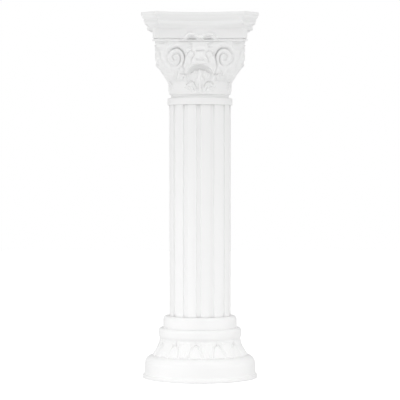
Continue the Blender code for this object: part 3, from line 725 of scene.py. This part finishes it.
# %% The mould grain group
def mould_grain_group():
    """Gives a height for the bump, a mottle for the roughness and a tint mask for the colour."""
    group = bpy.data.node_groups.new("mould grain", "ShaderNodeTree")
    for name in ("Peel Scale", "Mottle Scale"):
        group.interface.new_socket(name, in_out="INPUT", socket_type="NodeSocketFloat")
    for name in ("Height", "Mottle", "Tint"):
        group.interface.new_socket(name, in_out="OUTPUT", socket_type="NodeSocketFloat")
    nodes, links = group.nodes, group.links
    entry, leave = nodes.new("NodeGroupInput"), nodes.new("NodeGroupOutput")
    place = nodes.new("ShaderNodeTexCoord")
    peel, mottle, tint = (nodes.new("ShaderNodeTexNoise") for _ in range(3))
    for noise, detail, rough in ((peel, 3.0, 0.55), (mottle, 4.0, 0.6), (tint, 2.0, 0.5)):
        links.new(place.outputs["Object"], noise.inputs["Vector"])
        noise.inputs["Detail"].default_value = detail
        noise.inputs["Roughness"].default_value = rough
    links.new(entry.outputs["Peel Scale"], peel.inputs["Scale"])
    links.new(entry.outputs["Mottle Scale"], mottle.inputs["Scale"])
    tint.inputs["Scale"].default_value = 5.0
    links.new(peel.outputs["Fac"], leave.inputs["Height"])
    links.new(mottle.outputs["Fac"], leave.inputs["Mottle"])
    links.new(tint.outputs["Fac"], leave.inputs["Tint"])
    return group


mould_grain = mould_grain_group()


# %% The plastic of each piece
PLASTIC_WHITE, PALER_WHITE = (0.86, 0.86, 0.86, 1), (0.88, 0.88, 0.876, 1)
SATIN_LEAST, SATIN_MOST = 0.38, 0.56


def white_plastic(name):
    """Satin white plastic: colour mixes two near whites by the tint, and roughness follows the mottle."""
    material = bpy.data.materials.new(name)
    material.use_nodes = True
    nodes, links = material.node_tree.nodes, material.node_tree.links
    shader = nodes["Principled BSDF"]
    grain = nodes.new("ShaderNodeGroup")
    grain.node_tree = mould_grain
    grain.inputs["Peel Scale"].default_value = 900.0
    grain.inputs["Mottle Scale"].default_value = 45.0
    colour = nodes.new("ShaderNodeMix")
    colour.data_type = "RGBA"
    colour.inputs["A"].default_value = PLASTIC_WHITE
    colour.inputs["B"].default_value = PALER_WHITE
    links.new(grain.outputs["Tint"], colour.inputs["Factor"])
    links.new(colour.outputs["Result"], shader.inputs["Base Color"])
    rough = nodes.new("ShaderNodeMapRange")
    rough.inputs["To Min"].default_value = SATIN_LEAST
    rough.inputs["To Max"].default_value = SATIN_MOST
    links.new(grain.outputs["Mottle"], rough.inputs["Value"])
    links.new(rough.outputs["Result"], shader.inputs["Roughness"])
    bump = nodes.new("ShaderNodeBump")
    bump.inputs["Strength"].default_value = 0.12
    bump.inputs["Distance"].default_value = 0.0004
    links.new(grain.outputs["Height"], bump.inputs["Height"])
    links.new(bump.outputs["Normal"], shader.inputs["Normal"])
    shader.inputs["IOR"].default_value = 1.46
    return material


for piece in (foot, tube, head):
    piece.data.materials.append(white_plastic(piece.name + " plastic"))
    print(piece.name, "is finished in", piece.data.materials[0].name)

# %% [markdown]
# ## Studio: floor, light and camera
#
# The photograph was taken against pure white, with soft light that is strongest low down: the foot is nearly
# white, and the head a shade greyer. World and floor are white to the camera but dimmer as lights, and Light
# Path tells the two apart. Two broad lamps stand in front, higher than the head, so that the hollow under the
# hood falls in shade. A pair at the sides and a small pair by the foot brighten what is low, and a weak one
# overhead draws a pale line on each ledge. At the foot the left ones are the stronger, because the drum's
# left side is the paler in the photograph.

# %% The floor
# It lies a hair under the rim, so that the two don't share a plane.
FLOOR_SIZE, FLOOR_LEVEL = 6.0, -0.2 * MM
FLOOR_BOUNCE = (0.75, 0.75, 0.75, 1)
FLOOR_GLOW, FLOOR_GLOW_SEEN = (0.02, 0.02, 0.02, 1), (0.65, 0.65, 0.65, 1)
floor_corners = [(x * FLOOR_SIZE, y * FLOOR_SIZE) for x, y in ((-1, -1), (1, -1), (1, 1), (-1, 1))]
floor_mesh = bpy.data.meshes.new("floor")
floor_mesh.from_pydata([(*corner, FLOOR_LEVEL) for corner in floor_corners], [], [(0, 1, 2, 3)])
floor = bpy.data.objects.new("floor", floor_mesh)
bpy.context.collection.objects.link(floor)
paper = bpy.data.materials.new("white paper")
paper.use_nodes = True
paper_nodes, paper_links = paper.node_tree.nodes, paper.node_tree.links
paper_shader = paper_nodes["Principled BSDF"]
paper_shader.inputs["Base Color"].default_value = FLOOR_BOUNCE
paper_shader.inputs["Roughness"].default_value = 0.9
paper_shader.inputs["Specular IOR Level"].default_value = 0.0
paper_shader.inputs["Emission Strength"].default_value = 1.0
seen = paper_nodes.new("ShaderNodeLightPath")
paper_glow = paper_nodes.new("ShaderNodeMix")
paper_glow.data_type = "RGBA"
paper_glow.inputs["A"].default_value = FLOOR_GLOW
paper_glow.inputs["B"].default_value = FLOOR_GLOW_SEEN
paper_links.new(seen.outputs["Is Camera Ray"], paper_glow.inputs["Factor"])
paper_links.new(paper_glow.outputs["Result"], paper_shader.inputs["Emission Color"])
floor_mesh.materials.append(paper)

# %% The white room
ROOM_LIGHT = 0.63
world = bpy.data.worlds.new("white room")
world.use_nodes = True
world_nodes, world_links = world.node_tree.nodes, world.node_tree.links
world_seen = world_nodes.new("ShaderNodeLightPath")
world_strength = world_nodes.new("ShaderNodeMapRange")
world_strength.inputs["To Min"].default_value = ROOM_LIGHT
world_strength.inputs["To Max"].default_value = 1.0
world_links.new(world_seen.outputs["Is Camera Ray"], world_strength.inputs["Value"])
world_links.new(world_strength.outputs["Result"], world_nodes["Background"].inputs["Strength"])
world_nodes["Background"].inputs["Color"].default_value = (1, 1, 1, 1)
bpy.context.scene.world = world
bpy.context.scene.view_settings.view_transform = "Standard"


# %% The lamps
def soft_lamp(name, place, aim, size, watts):
    """A broad area lamp of so many watts at a place, turned to face a point, and not itself seen."""
    lamp = bpy.data.lights.new(name, "AREA")
    lamp.shape = "RECTANGLE"
    lamp.size, lamp.size_y = size
    lamp.energy = watts
    made = bpy.data.objects.new(name, lamp)
    bpy.context.collection.objects.link(made)
    made.location = place
    way = np.array(aim) - np.array(place)
    flat = math.hypot(way[0], way[1])
    made.rotation_euler = (math.pi / 2 + math.atan2(way[2], flat), 0, math.atan2(-way[0], way[1]))
    made.visible_camera = False
    print(name, "stands at", place)


soft_lamp("left softbox", (-1.25, -1.05, 1.3), (0, 0, 0.45), (0.9, 0.7), 4.8)
soft_lamp("right softbox", (1.25, -1.05, 1.3), (0, 0, 0.45), (0.9, 0.7), 4.8)
soft_lamp("left side lamp", (-1.3, -0.2, 0.12), (0, 0, 0.1), (0.8, 0.5), 3.6)
soft_lamp("right side lamp", (1.3, -0.2, 0.12), (0, 0, 0.1), (0.8, 0.5), 2.8)
soft_lamp("left foot lamp", (-0.45, -0.65, 0.08), (0, 0, 0.06), (0.5, 0.1), 0.75)
soft_lamp("right foot lamp", (0.45, -0.65, 0.08), (0, 0, 0.06), (0.5, 0.1), 0.62)
soft_lamp("overhead softbox", (0, -0.6, 2.4), (0, 0, 0.3), (1.4, 1.4), 6.5)

# %% The camera
# The outline's perspective in the photograph gives a long lens, set a little over half the column's height.
CAMERA_AWAY, CAMERA_HEIGHT, CAMERA_DIP = 4.42, 0.5326, math.radians(1.3075)
lens = bpy.data.cameras.new("studio camera")
lens.lens = 163.4
lens.sensor_width = 36
lens.clip_end = 50
camera = bpy.data.objects.new("studio camera", lens)
bpy.context.collection.objects.link(camera)
camera.location = (0, -CAMERA_AWAY, CAMERA_HEIGHT)
camera.rotation_euler = (math.pi / 2 - CAMERA_DIP, 0, 0)
bpy.context.scene.camera = camera
print("camera", CAMERA_AWAY, "m away, with a", round(lens.lens, 1), "mm lens")
